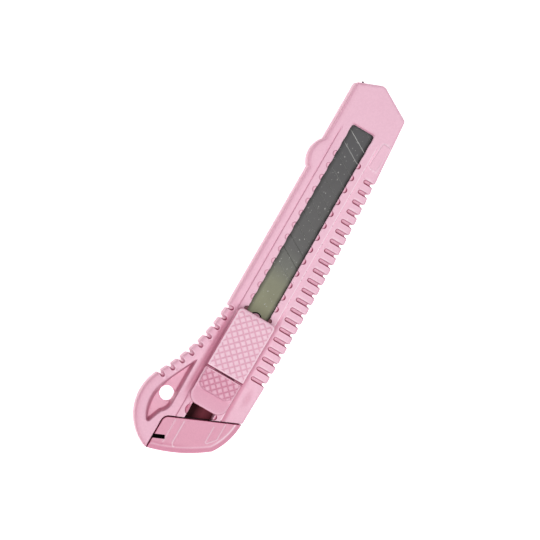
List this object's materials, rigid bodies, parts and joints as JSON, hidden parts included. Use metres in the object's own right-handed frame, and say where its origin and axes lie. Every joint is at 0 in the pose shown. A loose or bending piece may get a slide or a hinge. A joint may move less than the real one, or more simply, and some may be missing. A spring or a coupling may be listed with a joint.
{
  "type": "snap off knife",
  "caption": "Slim plastic snap off knife with a sliding blade carriage, lock pad, detent rails, lanyard hole and a pull off end cap with a snapping slot.",
  "frame": {"origin": "bottom centre of the bounding box, on the back face of the handle", "axes": "+X to the right seen from the front face with the blade point up, +Y along the handle towards the blade point, +Z out of the front face that carries the slider"},
  "size_m": [0.0384, 0.1564, 0.0166],
  "materials": {
    "handle_plastic": "moulded, satin",
    "cap_plastic": "moulded, satin",
    "slider_plastic": "moulded, satin",
    "blade_steel": "dark oxide, oiled",
    "spring_steel": "spring temper"
  },
  "bodies": {
    "handle": {"handle_body": "handle_plastic"},
    "cap": {"end_cap": "cap_plastic"},
    "slider": {"slider_carriage": "slider_plastic", "lock_spring": "spring_steel", "blade_segment_01": "blade_steel", "blade_segment_02": "blade_steel", "blade_segment_03": "blade_steel", "blade_segment_04": "blade_steel", "blade_segment_05": "blade_steel", "blade_segment_06": "blade_steel", "blade_segment_07": "blade_steel", "blade_segment_08": "blade_steel", "blade_segment_09": "blade_steel", "blade_segment_10": "blade_steel", "blade_segment_11": "blade_steel", "blade_segment_12": "blade_steel", "blade_segment_13": "blade_steel", "blade_segment_14": "blade_steel", "blade_shank": "blade_steel"},
    "pad": {"lock_pad": "slider_plastic"}
  },
  "joints": [
    {"name": "slider_slide", "type": "slide", "parent": "handle", "child": "slider", "axis": [0, 1, 0], "range_m": [-0.005, 0.075]},
    {"name": "lock_pad_press", "type": "slide", "parent": "slider", "child": "pad", "axis": [0, 0, -1], "range_m": [0, 0.0008], "stiffness_N_per_m": 1500, "springref_m": -0.0006, "deforming": ["lock_spring"]},
    {"name": "end_cap_pull", "type": "slide", "parent": "handle", "child": "cap", "axis": [0, -1, 0], "range_m": [0, 0.025]}
  ]
}
